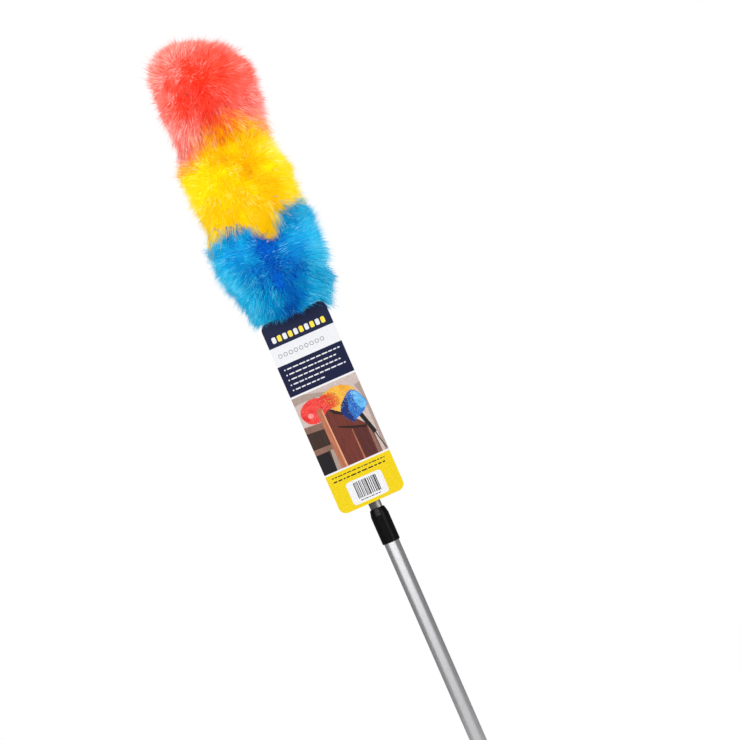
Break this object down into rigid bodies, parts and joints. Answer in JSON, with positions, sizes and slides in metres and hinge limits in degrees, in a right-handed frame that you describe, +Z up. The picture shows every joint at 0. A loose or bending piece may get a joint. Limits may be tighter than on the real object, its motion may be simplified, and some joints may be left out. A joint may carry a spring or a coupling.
{
  "type": "feather duster",
  "caption": "Telescopic twist-lock pole with a detachable, bendable fluffy duster head in blue, yellow and red, and a hang card round its handle.",
  "frame": {"origin": "centre of the hanging hole in the foot of the pole", "axes": "+Z up the pole towards the tip of the head, -Y out of the card's printed side, +X to the right when the card is read"},
  "size_m": [0.1281, 0.1281, 1.042],
  "materials": {
    "tube_outer": "satin silver anodised tube, fine lengthwise drawing lines",
    "tube_inner": "plain drawn tube, greyer than the outer one",
    "black_plastic": "black moulded polypropylene with a fine grain",
    "handle_plastic": "black moulded handle, slightly glossy",
    "soft_grip": "black soft-touch sleeve",
    "nylon": "natural nylon",
    "nylon_dark": "dark grey nylon",
    "steel_wire": "annealed galvanised steel",
    "core_plastic": "flexible polyethylene tube",
    "fibre_blue": "fine glossy synthetic fibre, cyan tips",
    "fibre_yellow": "fine glossy synthetic fibre, pale tips",
    "fibre_red": "fine glossy synthetic fibre, pink tips",
    "card_print": "printed card, semi-gloss",
    "card_board": "plain white board, matt"
  },
  "bodies": {
    "pole": {"outer_tube": "tube_outer", "end_cap": "black_plastic", "hand_grip": "soft_grip", "pole_collar": "black_plastic", "guide_bush": "nylon"},
    "lock_sleeve": {"lock_sleeve": "nylon_dark"},
    "lock_cone": {"lock_cone": "nylon"},
    "inner_tube": {"inner_tube": "tube_inner", "lock_spindle": "nylon", "spindle_stop": "steel_wire", "tip_spigot": "nylon_dark"},
    "head_base": {"head_grip": "handle_plastic", "neck_tube": "handle_plastic", "ferrule": "handle_plastic", "core_wire_blue_lower": "steel_wire", "fibre_blue_lower": "fibre_blue", "card_front": "card_print", "card_back": "card_board"},
    "head_blue_upper": {"fibre_blue_upper": "fibre_blue", "core_sleeve_blue_upper": "core_plastic", "core_wire_blue_upper": "steel_wire"},
    "head_yellow_lower": {"fibre_yellow_lower": "fibre_yellow", "core_sleeve_yellow_lower": "core_plastic", "core_wire_yellow_lower": "steel_wire"},
    "head_yellow_upper": {"fibre_yellow_upper": "fibre_yellow", "core_sleeve_yellow_upper": "core_plastic", "core_wire_yellow_upper": "steel_wire"},
    "head_red_lower": {"fibre_red_lower": "fibre_red", "core_sleeve_red_lower": "core_plastic", "core_wire_red_lower": "steel_wire"},
    "head_red_tip": {"fibre_red_tip": "fibre_red", "core_sleeve_red_tip": "core_plastic", "core_wire_red_tip": "steel_wire", "tip_cap": "handle_plastic"}
  },
  "joints": [
    {"name": "telescope", "type": "slide", "parent": "pole", "child": "lock_sleeve", "axis": [0, 0, 1], "range_m": [0, 0.3]},
    {"name": "twist_lock", "type": "hinge", "parent": "lock_sleeve", "child": "inner_tube", "pos_m": [0, 0, 0.06], "axis": [0, 0, 1], "range_deg": [0, 180]},
    {"name": "wedge_rise", "type": "slide", "parent": "lock_sleeve", "child": "lock_cone", "axis": [0, 0, 1], "range_m": [0, 0.00126]},
    {"name": "head_detach", "type": "slide", "parent": "inner_tube", "child": "head_base", "axis": [0, 0, 1], "range_m": [0, 0.045]},
    {"name": "bend_1", "type": "hinge", "parent": "head_base", "child": "head_blue_upper", "pos_m": [0, 0, 0.729], "axis": [0, 1, 0], "range_deg": [-30, 30]},
    {"name": "bend_2", "type": "hinge", "parent": "head_blue_upper", "child": "head_yellow_lower", "pos_m": [0, 0, 0.79], "axis": [0, 1, 0], "range_deg": [-30, 30]},
    {"name": "bend_3", "type": "hinge", "parent": "head_yellow_lower", "child": "head_yellow_upper", "pos_m": [0, 0, 0.848], "axis": [0, 1, 0], "range_deg": [-30, 30]},
    {"name": "bend_4", "type": "hinge", "parent": "head_yellow_upper", "child": "head_red_lower", "pos_m": [0, 0, 0.905], "axis": [0, 1, 0], "range_deg": [-30, 30]},
    {"name": "bend_5", "type": "hinge", "parent": "head_red_lower", "child": "head_red_tip", "pos_m": [0, 0, 0.963], "axis": [0, 1, 0], "range_deg": [-30, 30]}
  ],
  "couplings": [
    {"joint": "wedge_rise", "follows": "twist_lock", "m_per_rad": 0.00039789}
  ]
}
